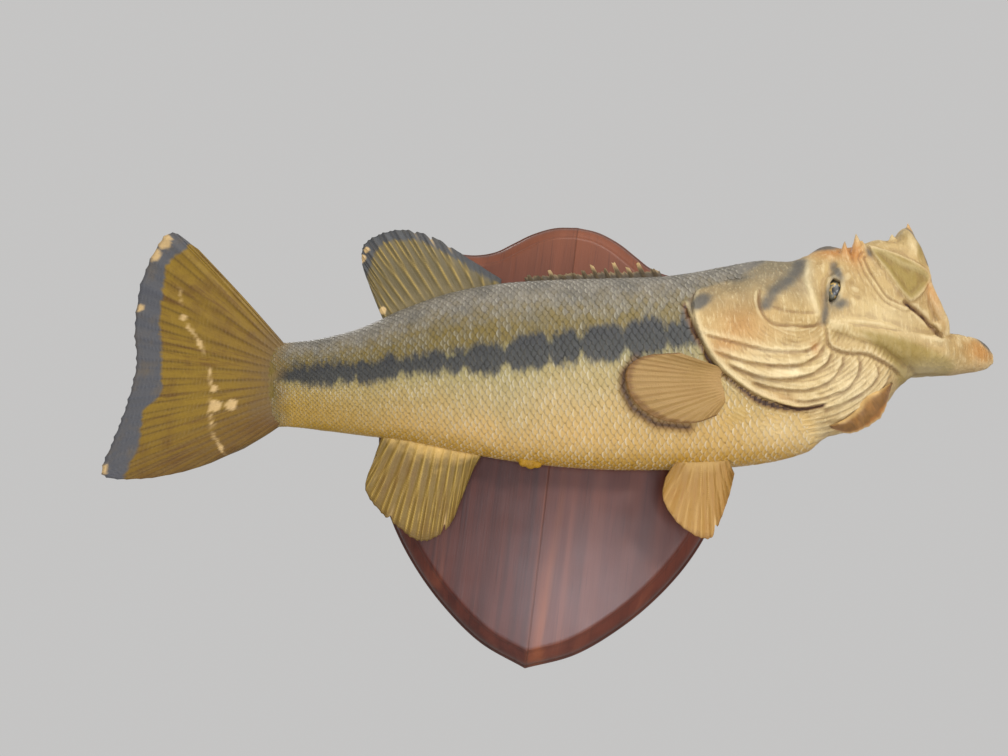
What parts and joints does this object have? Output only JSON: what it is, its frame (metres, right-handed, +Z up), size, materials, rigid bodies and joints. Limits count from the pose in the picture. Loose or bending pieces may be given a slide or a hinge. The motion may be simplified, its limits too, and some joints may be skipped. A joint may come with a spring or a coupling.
{
  "type": "mounted trophy largemouth bass",
  "caption": "Skin mount of a largemouth bass, mouth open and nose lifted, on a shield-shaped wooden wall plaque with a moulded edge.",
  "frame": {"origin": "middle of the plaque's flat back, where it meets the wall", "axes": "+X towards the fish's head, +Y out of the plaque's back into the wall, +Z up"},
  "size_m": [0.5119, 0.0958, 0.2819],
  "materials": {
    "plaque_wood": "satin lacquer over reddish brown stain",
    "raw_wood": "unfinished softwood",
    "steel": "dull plated steel",
    "flank_skin": "dried, varnished and scaled",
    "head_skin": "dried and shrunken, faint sheen",
    "jaw_skin": "dried olive skin",
    "fin_skin": "dried and rayed, thin edges",
    "eye_glass": "glossy artificial eye"
  },
  "bodies": {
    "root": {"plaque": "plaque_wood", "hanger_plate": "steel", "screw_low": "steel", "screw_high": "steel", "backing_block": "raw_wood", "trunk": "flank_skin", "tail_stem": "flank_skin", "head": "head_skin", "throat": "head_skin", "lower_jaw": "jaw_skin", "upper_lip": "head_skin", "gill_cover_right": "head_skin", "gill_cover_left": "head_skin", "maxilla_right": "jaw_skin", "maxilla_left": "jaw_skin", "eye_right": "eye_glass", "eye_left": "eye_glass", "pelvic_fin_right": "fin_skin", "pelvic_fin_left": "fin_skin", "tail_fin": "fin_skin", "soft_dorsal_fin": "fin_skin", "anal_fin": "fin_skin", "spiny_dorsal_fin": "fin_skin", "pectoral_fin_right": "fin_skin"}
  },
  "joints": []
}
